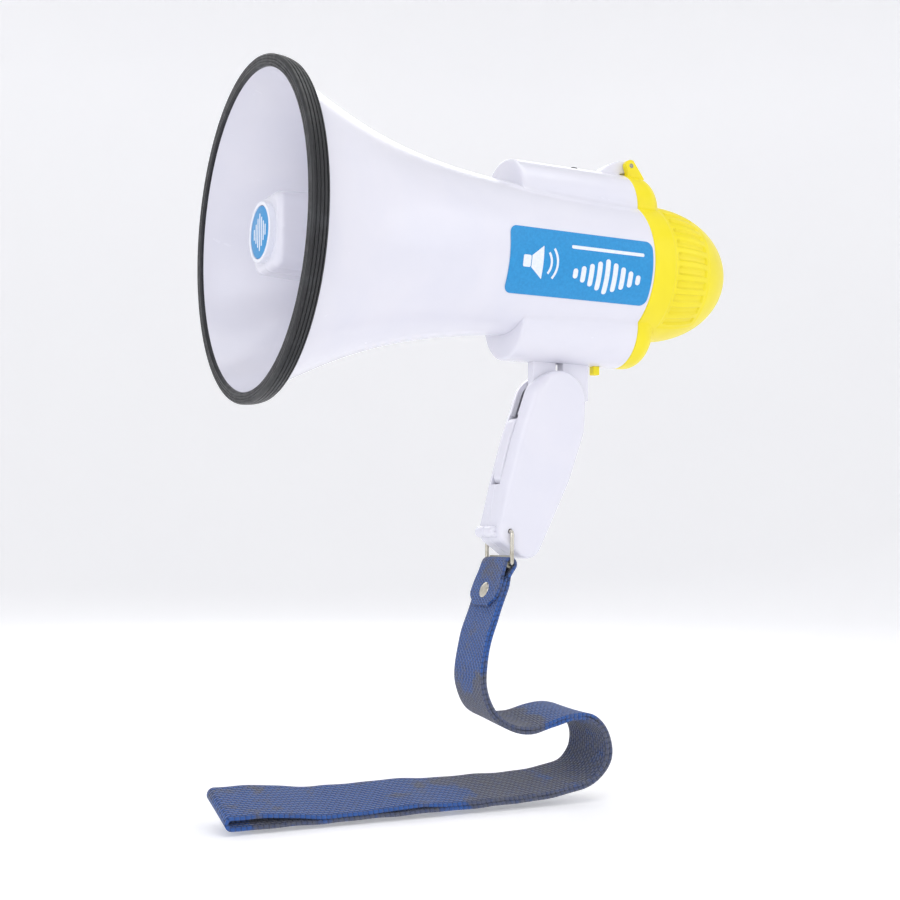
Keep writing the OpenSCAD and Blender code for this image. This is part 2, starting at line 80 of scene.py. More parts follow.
# Ends of the bracket along the horn and the radius of its foot
BRACKET_ENDS, FOOT_R = (135.4, 165.2), 12.4
TONGUE_HALF = 2.6
RING_HOLE = (-6.2, -66.2)
RING_HALF, RING_DROP, WIRE_R = 11.4, 14.6, 0.9
TRIGGER_PIN = (-9.6, -42.4)
SCREWS = ((8, -24), (7.5, -47), (3.6, -66.5))


def at(x, y, z):
    """A place in the frame, given from the bell's front edge and the horn's axis."""
    return Vector((FRONT_X + x * MM, y * MM, AXIS_Z + z * MM))


def on_grip(u, y, w):
    """A place in the frame, given from the grip's pivot along the raked grip."""
    return at(PIVOT_X + u * math.cos(RAKE) + w * math.sin(RAKE), y,
              PIVOT_Z - u * math.sin(RAKE) + w * math.cos(RAKE))


def from_ring(u, y, w):
    """A place in the frame, given from the ring's hole, straight along the horn's own axes."""
    hole = on_grip(RING_HOLE[0], y, RING_HOLE[1])
    return hole + Vector((u * MM, 0, w * MM))


# ---------------------------------------------------------------- camera
def aim_camera(target, azimuth, elevation, roll, distance, lens):
    camera = bpy.data.objects.new("camera", bpy.data.cameras.new("camera"))
    camera.data.lens = lens
    camera.data.clip_start = 0.01
    turn = (Matrix.Rotation(-math.radians(azimuth), 4, "Z")
            @ Matrix.Rotation(math.radians(90 + elevation), 4, "X")
            @ Matrix.Rotation(math.radians(roll), 4, "Z"))
    camera.matrix_world = Matrix.Translation(target) @ turn @ Matrix.Translation((0, 0, distance))
    bpy.context.collection.objects.link(camera)
    bpy.context.scene.camera = camera


aim_camera(at(94.5, 0, -87.5), azimuth=27.2, elevation=3.73, roll=0.37, distance=0.617, lens=56)


# ---------------------------------------------------------------- materials
class Finish:
    """A Principled material under construction. Positions are the object's own, so the look moves with it."""

    def __init__(self, name, **values):
        self.material = bpy.data.materials.new(name)
        self.material.use_nodes = True
        self.tree = self.material.node_tree
        self.shader = self.tree.nodes["Principled BSDF"]
        for socket, value in values.items():
            self.shader.inputs[socket.replace("_", " ")].default_value = value
        self.place = self.tree.nodes.new("ShaderNodeTexCoord").outputs["Object"]

    def node(self, kind, inputs, **settings):
        node = self.tree.nodes.new("ShaderNode" + kind)
        for name, value in settings.items():
            setattr(node, name, value)
        for key, value in inputs.items():
            if isinstance(value, bpy.types.NodeSocket):
                self.tree.links.new(value, node.inputs[key])
            else:
                node.inputs[key].default_value = value
        return node.outputs

    def noise(self, scale, detail=3, rough=0.55, stretch=None, distortion=0):
        place = self.place
        if stretch:
            place = self.node("Mapping", {"Vector": place, "Scale": stretch})[0]
        return self.node("TexNoise", {"Vector": place, "Scale": scale, "Detail": detail, "Roughness": rough,
                                      "Distortion": distortion})["Fac"]

    def math(self, operation, a, b=0.5, c=0.5):
        return self.node("Math", {0: a, 1: b, 2: c}, operation=operation)[0]

    def spread(self, value, low, high, to_low=0.0, to_high=1.0):
        return self.node("MapRange", {"Value": value, "From Min": low, "From Max": high, "To Min": to_low,
                                      "To Max": to_high})["Result"]

    def blend(self, factor, a, b):
        node = self.tree.nodes.new("ShaderNodeMix")
        node.data_type = "RGBA"
        for socket, value in ((0, factor), (6, a), (7, b)):
            if isinstance(value, bpy.types.NodeSocket):
                self.tree.links.new(value, node.inputs[socket])
            else:
                node.inputs[socket].default_value = value
        return node.outputs[2]

    def colour(self, value):
        self.tree.links.new(value, self.shader.inputs["Base Color"])

    def roughness(self, value):
        self.tree.links.new(value, self.shader.inputs["Roughness"])

    def bump(self, height, distance, strength=1.0):
        old = self.shader.inputs["Normal"].links
        inputs = {"Height": height, "Distance": distance, "Strength": strength}
        if old:
            inputs["Normal"] = old[0].from_socket
        self.tree.links.new(self.node("Bump", inputs)["Normal"], self.shader.inputs["Normal"])


def rgb(red, green, blue):
    """A linear colour from the 0 to 255 values seen on a screen."""
    def linear(value):
        return value / 255 / 12.92 if value < 10.3 else ((value / 255 + 0.055) / 1.055) ** 2.4
    return linear(red), linear(green), linear(blue), 1


def plastic(name, main, tint, rough):
    """Injection-moulded plastic: faint flow mottling, a fine orange peel, and sparse handling scuffs."""
    finish = Finish(name, IOR=1.49)
    cloudy = finish.spread(finish.noise(28, 4, 0.5, distortion=0.4), 0.35, 0.7)
    finish.colour(finish.blend(cloudy, main, tint))
    streaks = finish.noise(60, 5, 0.7, stretch=(0.35, 1.6, 1.2), distortion=1.2)
    scuffed = finish.spread(streaks, 0.6, 0.72, 0.0, 0.08)
    fine = finish.spread(finish.noise(420, 2), 0.3, 0.7, -0.03, 0.03)
    base = finish.math("ADD", fine, rough)
    finish.roughness(finish.math("ADD", base, scuffed))
    finish.bump(finish.noise(260, 3, 0.5), 0.000006, 0.3)
    finish.bump(finish.noise(2600, 2, 0.5), 0.0000025, 0.5)
    return finish.material


def rubber():
    finish = Finish("rim_rubber", IOR=1.5)
    dusty = finish.spread(finish.noise(90, 5, 0.7), 0.5, 0.75)
    finish.colour(finish.blend(dusty, rgb(30, 31, 34), rgb(52, 54, 57)))
    finish.roughness(finish.spread(finish.noise(300, 3), 0.3, 0.7, 0.36, 0.52))
    finish.bump(finish.noise(1900, 3), 0.00003, 0.7)
    return finish.material


def metal(name, main, dull, rough, brushed=(1, 1, 1)):
    """Plated or drawn metal with brushed grain and dull patches."""
    finish = Finish(name, Metallic=1.0)
    patches = finish.spread(finish.noise(120, 5, 0.65), 0.42, 0.68)
    finish.colour(finish.blend(patches, main, dull))
    grain = finish.noise(1500, 3, 0.6, stretch=brushed)
    finish.roughness(finish.spread(grain, 0.3, 0.7, rough - 0.07, rough + 0.1))
    finish.bump(grain, 0.00002, 0.5)
    return finish.material


def printed(name, main, tint):
    """Glossy print: an even colour with the faint mottle of the ink."""
    finish = Finish(name, IOR=1.5)
    finish.colour(finish.blend(finish.spread(finish.noise(900, 3), 0.35, 0.65), main, tint))
    finish.roughness(finish.spread(finish.noise(150, 3), 0.3, 0.7, 0.3, 0.42))
    finish.bump(finish.noise(700, 2), 0.00001, 0.5)
    return finish.material


def fibrous(name, main, tint, rough, scale, height):
    """Felted, cast or foamed stuff: mottled colour and open pores."""
    finish = Finish(name)
    finish.colour(finish.blend(finish.spread(finish.noise(scale, 4, 0.7), 0.4, 0.65), main, tint))
    finish.roughness(finish.spread(finish.noise(scale / 3, 2), 0.3, 0.7, rough - 0.06, rough + 0.06))
    pores = finish.node("TexVoronoi", {"Vector": finish.place, "Scale": scale * 1.5})["Distance"]
    finish.bump(pores, height, 0.8)
    return finish.material


def circuit_board():
    """Green solder mask over faint copper tracks."""
    finish = Finish("circuit_board", IOR=1.5)
    tracks = finish.node("TexBrick", {"Vector": finish.place, "Scale": 120.0, "Mortar Size": 0.03})["Fac"]
    finish.colour(finish.blend(tracks, rgb(20, 92, 48), rgb(44, 128, 70)))
    finish.roughness(finish.spread(finish.noise(500, 3), 0.3, 0.7, 0.3, 0.42))
    finish.bump(tracks, 0.00003, 0.6)
    return finish.material


WEFT, WARP = 1.45 * MM, 2.3 * MM


def webbing():
    """Woven webbing: ribs of warp floats, each row half a float along, in patchy blue and grey, with painted
    shade in the dips between the floats.
    """
    finish = Finish("webbing", Sheen_Weight=0.25, Sheen_Roughness=0.5)
    lay = finish.node("Attribute", {}, attribute_name="lay")["Vector"]
    parts = finish.node("SeparateXYZ", {"Vector": lay})
    column = finish.math("DIVIDE", parts["Y"], WEFT)
    parity = finish.math("MODULO", finish.math("FLOOR", finish.math("ADD", column, 100.0)), 2.0)
    row = finish.math("ADD", finish.math("DIVIDE", parts["X"], WARP), finish.math("MULTIPLY", parity, 0.5))
    across = finish.math("SINE", finish.math("MULTIPLY", finish.math("FRACT", column), math.pi))
    along = finish.math("SINE", finish.math("MULTIPLY", finish.math("FRACT", row), math.pi))
    float_up = finish.math("MULTIPLY", finish.math("POWER", across, 0.6), finish.math("POWER", along, 0.5))
    patches = finish.spread(finish.noise(75, 4, 0.6), 0.25, 0.75, -0.75, 0.75)
    grey_part = finish.math("ADD", parts["Z"], patches)
    grey = finish.spread(grey_part, 0.32, 0.68)
    flecks = finish.spread(finish.noise(900, 3, 0.7), 0.56, 0.75, 0.0, 0.55)
    worn = finish.math("MAXIMUM", grey, flecks)
    yarn = finish.blend(worn, rgb(34, 88, 165), rgb(84, 88, 104))
    lit = finish.blend(finish.spread(finish.noise(420, 2), 0.35, 0.7, 0.0, 0.5), yarn, rgb(24, 62, 128))
    # Painted shade: the colour goes to a dark navy in the dips between the floats, where float_up is low
    finish.colour(finish.blend(finish.spread(float_up, 0.05, 0.6), rgb(16, 28, 54), lit))
    finish.roughness(finish.spread(float_up, 0.0, 1.0, 0.85, 0.62))
    strands = finish.noise(3500, 2, 0.5)
    finish.bump(float_up, 0.00045, 1.0)
    finish.bump(strands, 0.00006, 0.7)
    return finish.material


SHELL = plastic("shell_plastic", rgb(232, 231, 240), rgb(227, 227, 238), 0.21)
RING_WHITE = plastic("ring_plastic", rgb(244, 245, 252), rgb(236, 238, 248), 0.25)
YELLOW = plastic("yellow_plastic", rgb(246, 229, 22), rgb(238, 219, 16), 0.36)
BLACK = plastic("black_plastic", rgb(28, 28, 31), rgb(40, 40, 44), 0.42)
RED = plastic("red_plastic", rgb(196, 38, 30), rgb(176, 30, 26), 0.34)
RUBBER = rubber()
BLUE = printed("badge_print", rgb(22, 140, 205), rgb(30, 150, 214))
WHITE_PRINT = printed("white_print", rgb(240, 243, 250), rgb(228, 236, 248))
STEEL = metal("zinc_steel", rgb(176, 174, 162), rgb(140, 138, 124), 0.3, brushed=(1, 0.08, 1))
WIRE = metal("bright_wire", rgb(214, 210, 198), rgb(178, 172, 154), 0.2, brushed=(1, 1, 0.1))
FERRITE = fibrous("ferrite", rgb(46, 46, 50), rgb(62, 62, 66), 0.5, 600, 0.00004)
CONE = fibrous("cone_film", rgb(196, 170, 110), rgb(178, 150, 92), 0.4, 500, 0.00002)
CELLS = metal("cell_jacket", rgb(70, 128, 84), rgb(54, 108, 70), 0.3, brushed=(0.1, 1, 1))
BOARD = circuit_board()
FOAM = fibrous("mic_foam", rgb(34, 34, 36), rgb(52, 52, 54), 0.9, 900, 0.0002)
WEBBING = webbing()


# ---------------------------------------------------------------- mesh building
def make(name, points, faces, material=None, angle=38):
    """A closed mesh from points in the frame, shaded smooth except at edges sharper than angle degrees."""
    mesh = bpy.data.meshes.new(name)
    mesh.from_pydata([tuple(p) for p in points], [], faces)
    piece = bpy.data.objects.new(name, mesh)
    bpy.context.collection.objects.link(piece)
    if material:
        mesh.materials.append(material)
    tidy(piece, angle)
    return piece


def tidy(piece, angle=38):
    """Joins doubled points, drops empty faces, turns every face outwards and sets the smooth shading."""
    mesh = bmesh.new()
    mesh.from_mesh(piece.data)
    bmesh.ops.remove_doubles(mesh, verts=mesh.verts, dist=0.002 * MM)
    bmesh.ops.dissolve_degenerate(mesh, edges=mesh.edges, dist=0.001 * MM)
    loose = [e for e in mesh.edges if not e.link_faces]
    bmesh.ops.delete(mesh, geom=loose, context="EDGES")
    bmesh.ops.recalc_face_normals(mesh, faces=mesh.faces)
    mesh.to_mesh(piece.data)
    mesh.free()
    piece.data.shade_smooth()
    piece.data.set_sharp_from_angle(angle=math.radians(angle))


def bake(piece):
    """Applies the modifiers that are on the piece."""
    graph = bpy.context.evaluated_depsgraph_get()
    mesh = bpy.data.meshes.new_from_object(piece.evaluated_get(graph))
    piece.modifiers.clear()
    piece.data = mesh
    return piece


def soften(piece, width, segments=3, angle=50):
    """Rounds the edges that are sharper than angle degrees."""
    bevel = piece.modifiers.new("soft_edges", "BEVEL")
    bevel.width = width * MM
    bevel.segments = segments
    bevel.limit_method = "ANGLE"
    bevel.angle_limit = math.radians(angle)
    bevel.miter_outer = "MITER_ARC"
    bake(piece)
    piece.data.shade_smooth()
    piece.data.set_sharp_from_angle(angle=math.radians(60))
    even = piece.modifiers.new("even_normals", "WEIGHTED_NORMAL")
    even.keep_sharp = True
    return bake(piece)


def carve(piece, *tools, operation="DIFFERENCE", angle=38):
    """Cuts the tools out of the piece, or joins them to it, and removes them."""
    for tool in tools:
        change = piece.modifiers.new("carve", "BOOLEAN")
        change.operation = operation
        change.solver = "EXACT"
        change.object = tool
    bake(piece)
    for tool in tools:
        bpy.data.objects.remove(tool)
    piece.data.shade_smooth()
    piece.data.set_sharp_from_angle(angle=math.radians(angle))
    return piece


def merge(piece, *others):
    """Makes several objects one, as separate shells of one mesh."""
    mesh = bmesh.new()
    mesh.from_mesh(piece.data)
    for other in others:
        mesh.from_mesh(other.data)
        bpy.data.objects.remove(other)
    mesh.to_mesh(piece.data)
    mesh.free()
    return piece


def stack(rows, joins=None, caps=()):
    """Points and faces of closed rows of points laid one after another. caps names the filled rows."""
    count = len(rows[0])
    if joins is None:
        joins = [(i, i + 1) for i in range(len(rows) - 1)]
    faces = [(a * count + k, a * count + (k + 1) % count, b * count + (k + 1) % count, b * count + k)
             for a, b in joins for k in range(count)]
    faces += [tuple(range(i * count, (i + 1) * count)) for i in caps]
    return [p for row in rows for p in row], faces


def ring_of(row_count):
    """Joins that lead through all rows and back to the first."""
    return [(i, (i + 1) % row_count) for i in range(row_count)]


def rounded(outline, radius, steps=4):
    """An outline of 2-D points with its corners rounded."""
    result = []
    for i, point in enumerate(outline):
        p, before, after = Vector(point), Vector(outline[i - 1]), Vector(outline[(i + 1) % len(outline)])
        a = p + (before - p).normalized() * min(radius, 0.45 * (before - p).length)
        b = p + (after - p).normalized() * min(radius, 0.45 * (after - p).length)
        for k in range(steps + 1):
            t = k / steps
            result.append(a * (1 - t) ** 2 + p * 2 * t * (1 - t) + b * t * t)
    return result


def arc(cx, cy, radius, start, end, steps):
    """Points of an arc, from start to end degrees."""
    turns = [math.radians(start + (end - start) * i / steps) for i in range(steps + 1)]
    return [(cx + radius * math.cos(a), cy + radius * math.sin(a)) for a in turns]


def spin(name, profile, origin, axis, material=None, steps=96, angle=38):
    """Turns a closed profile of (distance along, radius) points about an axis through origin."""
    along = Vector(axis).normalized()
    side = along.orthogonal().normalized()
    other = along.cross(side)
    turns = [2 * math.pi * k / steps for k in range(steps)]
    rows = []
    for x, r in profile:
        rows.append([origin + (along * x + side * (r * math.cos(a)) + other * (r * math.sin(a))) * MM
                     for a in turns])
    return make(name, *stack(rows, ring_of(len(rows))), material, angle)


def rod(start, end, radius, steps=48):
    """A closed cylinder, used as a tool or as a post."""
    length = (end - start).length / MM
    return spin("rod", [(0, 0), (0, radius), (length, radius), (length, 0)], start, end - start, None, steps)


def slab(place, u, y, w, name="slab", material=None):
    """A box between limits, in the axes of place, which is at or on_grip or from_ring."""
    base = ((u[0], y[0]), (u[1], y[0]), (u[1], y[1]), (u[0], y[1]))
    corners = [[place(a, b, c) for a, b in base] for c in w]
    return make(name, *stack(corners, caps=(0, 1)), material, 30)


def extrude(name, outline, half, place, material=None, middle=0.0):
    """A plate with a 2-D outline, half a thickness to each side of y = middle."""
    rows = [[place(p[0], y, p[1]) for p in outline] for y in (middle - half, middle + half)]
    return make(name, *stack(rows, caps=(0, 1)), material)


def place_piece(piece, body, slot_name, *nodes):
    """Hangs the piece on its body and hides the CAD nodes it stands for. slot_name, the name of its finish,
    is not used.
    """
    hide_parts(*nodes)
    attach(piece, body)
    return piece


# ---------------------------------------------------------------- horn body: bell, barrel and battery barrels
def bell_r(x):
    return BARREL_R + FLARE * math.exp(-((max(x, 0) / FLARE_LEN) ** FLARE_POWER))


def crease(r, lobe):
    """Angle from the vertical at which a battery barrel leaves a barrel of radius r."""
    return math.acos((r * r + LUMP_Z * LUMP_Z - lobe * lobe) / (2 * r * LUMP_Z))


def lobe_reach(angle, lobe):
    """Distance from the horn's axis to a battery barrel's skin."""
    return LUMP_Z * math.cos(angle) + math.sqrt(max(0.0, lobe * lobe - (LUMP_Z * math.sin(angle)) ** 2))


def polar_row(x, r, creases, lobes, lobe_steps, side_steps, sink=None):
    """One row round the horn. creases and lobes are for top and bottom; a lobe of None is absent there."""
    top, bottom = creases
    near = [top * i / lobe_steps for i in range(lobe_steps)]
    near += [top + (math.pi - bottom - top) * i / side_steps for i in range(side_steps)]
    near += [math.pi - bottom + bottom * i / lobe_steps for i in range(lobe_steps)]
    angles = near + [2 * math.pi - a for a in [math.pi] + near[:0:-1]]
    row = []
    for angle in angles:
        tilt = angle if angle <= math.pi else 2 * math.pi - angle
        reach = r
        if lobes[0] and tilt < top:
            reach = max(r, lobe_reach(tilt, lobes[0]))
        if lobes[1] and tilt > math.pi - bottom:
            reach = max(r, lobe_reach(math.pi - tilt, lobes[1]))
        if sink:
            reach -= sink(x, tilt)
        row.append(at(x, -reach * math.sin(angle), reach * math.cos(angle)))
    return row


def horn_rows(inset, front, edge):
    """Rows of the horn's skin from mouth to seam. inset moves it inwards, edge rounds the barrels' ends."""
    rows = []

    def add(x, r, lobe, shown=True):
        angle = crease(r, lobe)
        rows.append(polar_row(x, r, (angle, angle), (lobe if shown else None,) * 2, 18, 30))

    def skin(x):
        return bell_r(x) - inset

    full = LUMP_R - inset
    first = full - edge
    for i in range(61):
        x = MOUTH_X + (front - MOUTH_X) * i / 60
        rows.append(polar_row(x, skin(x), (crease(skin(front), first),) * 2, (None, None), 18, 30))
    add(front, skin(front), first)
    for i in range(1, 7):
        turn = math.radians(90 * i / 6)
        x = front + edge * (1 - math.cos(turn))
        add(x, skin(x), first + edge * math.sin(turn))
    for i in range(1, 31):
        x = front + edge + (SEAM_X - 0.35 - front - edge) * i / 30
        add(x, skin(x), full)
    trim = 0.3 if inset == 0 else 0
    add(SEAM_X, skin(SEAM_X) - trim, full - trim)
    return rows


def horn_shell():
    rows = horn_rows(0, LUMP_X, 1.6) + horn_rows(WALL, LUMP_X + WALL, 0.6)[::-1]
    shell = make("horn_shell", *stack(rows, ring_of(len(rows))), SHELL, 32)
    button = rod(at(140, 20, 0), at(140, 40, 0), 5.1)
    lug = extrude("lug", hinge_lug_outline(), 4, at)
    soften(lug, 0.8)
    carve(shell, lug, operation="UNION", angle=32)
    carve(shell, slab(at, (BRACKET_ENDS[0] - 0.05, BRACKET_ENDS[1] + 0.05), (-2.65, 2.65), (-50, -40)),
          slab(at, (168, 172.2), (-2.2, 2.2), (-50, -40)),
          slab(at, (152, 164), (-2.2, 2.2), (43, 50)),
          slab(at, (157.5, 178.5), (20, 40), (-2.2, 2.2)), button,
          rod(at(HINGE_X, -10, HINGE_Z), at(HINGE_X, 10, HINGE_Z), 1.25), angle=32)
    return place_piece(shell, "housing", "shell_plastic", "horn_body")


def hinge_lug_outline():
    nose = arc(HINGE_X, HINGE_Z, 3, 105, -70, 12)
    return [(169.5, 44.8), (171.5, 46.6), (174.5, 49.2), (178, 51.2), (182, 52.5)] + nose + [
        (185.6, 46.6), (181.9, 46.3), (181.9, 44.5)]


# ---------------------------------------------------------------- bell fittings
def rim_ring():
    """Moulded rubber guard with fine grooves round its face and its edge."""
    profile = [(0.6, 66.8)]
    for i in range(41):
        r = 67.3 + (71.0 - 67.3) * i / 40
        groove = 0.28 * max(0.0, math.cos(2 * math.pi * (r - 67.3) / 1.23)) ** 3 if 0 < i < 40 else 0
        profile.append((0.02 + groove, r))
    profile += [(0.12, 71.4), (0.4, 71.75), (0.8, 71.93)]
    for i in range(61):
        x = 1.0 + (7.2 - 1.0) * i / 60
        groove = 0.42 * max(0.0, -math.cos(2 * math.pi * (x - 1.0) / 1.55)) ** 3
        profile.append((x, RIM_R - 0.02 - 1.3 * (x / 7.8) ** 3 - groove))
    profile += [(7.5, 70.4), (7.74, 69.9), (RIM_W, 69.2)]
    profile += [(x, bell_r(x) + 0.02) for x in (RIM_W, 6, 4, MOUTH_X)]
    profile += [(MOUTH_X, 66.8)]
    guard = spin("rim_guard_ring", profile, at(0, 0, 0), (1, 0, 0), RUBBER, 240)
    return place_piece(guard, "housing", "rim_rubber", "rim_guard")


def square_row(half, corner, x, rib=0.0):
    """A row round a square with rounded corners and a slim rib down the middle of each side."""
    row = []
    for quarter in range(4):
        turn = math.pi / 2 * quarter
        side = []
        for i in range(24):
            v = (half - corner) * (2 * i / 24 - 1)
            rise = rib * max(0.0, 1 - max(0.0, abs(v) - 0.55) / 0.35) if abs(v) < 0.9 else 0.0
            side.append((v, half + min(rise, rib)))
        for i in range(9):
            a = math.radians(90 - 90 * i / 9)
            side.append((half - corner + corner * math.cos(a), half - corner + corner * math.sin(a)))
        for v, w in side:
            row.append(at(x, -(v * math.cos(turn) + w * math.sin(turn)),
                          w * math.cos(turn) - v * math.sin(turn)))
    return row


def plug_block():
    """Square block in the middle of the bell, hollow at the back, ribbed along each face."""
    rows = [square_row(9, 4, 7.4)]
    for i in range(11):
        turn = math.radians(90 * i / 10)
        rows.append(square_row(13.0 + 3.0 * math.sin(turn), 5.6 + 1.4 * math.sin(turn),
                               10.8 - 3.4 * math.cos(turn), 0.35 * i / 10))
    for i in range(1, 26):
        x = 10.8 + (60.4 - 10.8) * i / 25
        rows.append(square_row(16 + 2.6 * i / 25, 7 + i / 25, x, 0.35))
    for i in range(12, -1, -1):
        rows.append(square_row(16 + 2.6 * i / 12 - 2.2, 5 + i / 12, 14 + (60.4 - 14) * i / 12))
    block = make("plug_block", *stack(rows, caps=(0, len(rows) - 1)), SHELL, 34)
    return place_piece(block, "housing", "shell_plastic", "reflector_plug")


def plug_trim():
    outline = rounded([(4.6, 11.1), (4.6, 12.75), (8.4, 12.75), (8.4, 0), (6.0, 0), (6.0, 11.1)], 0.45)
    outline = [(x, max(r, 0.0)) for x, r in outline]
    ring = spin("plug_ring_trim", outline, at(0, 0, 0), (1, 0, 0), RING_WHITE, 128)
    place_piece(ring, "housing", "ring_plastic", "plug_ring")
    disc = spin("plug_badge_disc", [(4.95, 0), (4.92, 10.6), (5.0, 10.9), (5.4, 11), (5.4, 0)], at(0, 0, 0),
                (1, 0, 0), BLUE, 128)
    place_piece(disc, "housing", "badge_print", "plug_badge")
    bars = [bar_print(4.9 - 0.03, offset, half) for offset, half in
            ((-6.6, 1.8), (-4.4, 3.6), (-2.2, 5.6), (0, 7.4), (2.2, 5.6), (4.4, 3.6), (6.6, 1.8))]
    pattern = merge(*bars)
    pattern.name = "badge_bars"
    pattern.data.materials.append(WHITE_PRINT)
    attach(pattern, "housing")


def bar_print(x, centre, half):
    """One raised upright bar with round ends on the badge."""
    outline = arc(0, half, 0.55, 0, 180, 8) + arc(0, -half, 0.55, 180, 360, 8)
    rows = [[at(depth, centre + p[0], p[1]) for p in outline] for depth in (x, x + 0.06)]
    return make("bar", *stack(rows, caps=(0, 1)))


# ---------------------------------------------------------------- side label
def on_label(x, v, lift):
    """A place on the label: x and v from its middle, lift above the barrel."""
    r = bell_r(LABEL_X + x) + lift
    v = max(-r, min(r, v))
    y, z = -math.sqrt(r * r - v * v), v
    return at(LABEL_X + x, y * math.cos(LABEL_TURN) - z * math.sin(LABEL_TURN),
              y * math.sin(LABEL_TURN) + z * math.cos(LABEL_TURN))


def label_shape(name, shape, columns, rows, low, high, material):
    """A thin print on the barrel. shape gives (x, v) for (s, t) from 0 to 1 each way."""
    spots = [shape(i / columns, j / rows) for j in range(rows + 1) for i in range(columns + 1)]
    points = [on_label(*spot, lift) for lift in (high, low) for spot in spots]
    width, half = columns + 1, (columns + 1) * (rows + 1)
    faces = []
    for j in range(rows):
        for i in range(columns):
            k = j * width + i
            faces += [(k, k + 1, k + width + 1, k + width),
                      (half + k, half + k + width, half + k + width + 1, half + k + 1)]
    edge = list(range(width)) + [j * width + columns for j in range(1, rows + 1)]
    edge += [rows * width + i for i in range(columns - 1, -1, -1)]
    edge += [j * width for j in range(rows - 1, 0, -1)]
    faces += [(a, half + a, half + b, b) for a, b in zip(edge, edge[1:] + edge[:1])]
    return make(name, points, faces, material, 50)


def rounded_patch(cx, cv, half_x, half_v, corner):
    """Shape of a rectangle with round corners."""
    def shape(s, t):
        t = 0.5 - 0.5 * math.cos(math.pi * t)
        v = half_v * (2 * t - 1)
        deep = max(0.0, abs(v) - (half_v - corner))
        inset = corner - math.sqrt(max(0.0, corner * corner - deep * deep))
        return cx + (half_x - inset) * (2 * s - 1), cv + v
    return shape


def bow_patch(cx, cv, radius, thick, spread):
    """Shape of a short arc that opens towards the rear."""
    def shape(s, t):
        a = math.radians(spread * (2 * t - 1))
        r = radius + thick * s
        return cx + r * math.cos(a), cv + r * math.sin(a)
    return shape


def horn_patch(x0, x1, v0, v1, cv):
    """Shape that widens from half height v0 at x0 to v1 at x1."""
    def shape(s, t):
        return x0 + (x1 - x0) * s, cv + (v0 + (v1 - v0) * s) * (2 * t - 1)
    return shape


def side_print():
    skin = label_shape("label_skin", rounded_patch(0, 0, 38, 14.5, 3.5), 60, 48, 0.06, 0.3, BLUE)
    place_piece(skin, "housing", "badge_print", "side_label")
    shapes = [(rounded_patch(-29, 0, 2.0, 2.6, 0.7), 4, 10), (horn_patch(-26.6, -20.6, 2.6, 7.2, 0), 8, 16),
              (bow_patch(-24, 0, 7.2, 1.1, 36), 3, 14), (bow_patch(-24, 0, 10.4, 1.1, 36), 3, 18),
              (rounded_patch(13.5, 8.2, 19.5, 0.75, 0.7), 40, 8)]
    heights = (2.2, 3.6, 5.0, 6.4, 7.8, 6.4, 5.0, 3.6, 2.2)
    for i, height in enumerate(heights):
        shapes.append((rounded_patch(-3.2 + 4.2 * i, -3.2, 1.25, height, 1.2), 4, 20))
    prints = [label_shape("print", shape, columns, rows, 0.28, 0.35, None) for shape, columns, rows in shapes]
    pattern = merge(*prints)
    pattern.name = "label_pictogram"
    pattern.data.materials.append(WHITE_PRINT)
    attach(pattern, "housing")


# ---------------------------------------------------------------- rear cap
RECESSES, RECESS_STEP = 10, math.radians(11.5)
RECESS_FRONT, RECESS_BACK, RECESS_HALF = 195.2, 213.2, 1.75
# Where the rows of the cap change from even steps along it to even turns round its nose
NOSE_X = 216


def smooth(value, low, high):
    t = max(0.0, min(1.0, (value - low) / (high - low)))
    return t * t * (3 - 2 * t)


def cap_sink(x, tilt):
    """Depth of the finger recesses and of the panel that holds them, at angle tilt from the top."""
    turn = tilt - math.pi / 2
    edge = math.radians(58)
    panel = smooth(x, 193.0, 194.2) * (1 - smooth(x, 214.4, 215.6))
    panel *= 1 - smooth(abs(turn), edge, edge + 0.03)
    k = round(turn / RECESS_STEP - 0.5) + 0.5
    k = max(-(RECESSES - 1) / 2, min((RECESSES - 1) / 2, k))
    across = abs(turn - k * RECESS_STEP) * DOME_R
    inside = (1 - smooth(across, RECESS_HALF - 0.35, RECESS_HALF + 0.25))
    inside *= smooth(x, RECESS_FRONT - 0.2, RECESS_FRONT + 0.6)
    inside *= 1 - smooth(x, RECESS_BACK - 0.5, RECESS_BACK + 0.3)
    return 0.3 * panel + 0.95 * inside


def dome_skin(s):
    """Radius of the dome at share s of its length."""
    return DOME_R * max(0.0, 1 - s ** 2.2) ** 0.52


def dome_point(turn, inset):
    """(x, radius) on the dome, with turn from 0 at its foot to 90 degrees at its nose."""
    s = math.sin(turn)
    return DOME_X + (DOME_LEN - inset) * s, max(0.0, dome_skin(s) - inset * (1 if s < 0.999 else 0))


def dome_radius(x, inset):
    if x <= DOME_X:
        return DOME_R - inset
    s = min(1.0, (x - DOME_X) / (DOME_LEN - inset))
    return max(0.0, dome_skin(s) - inset)


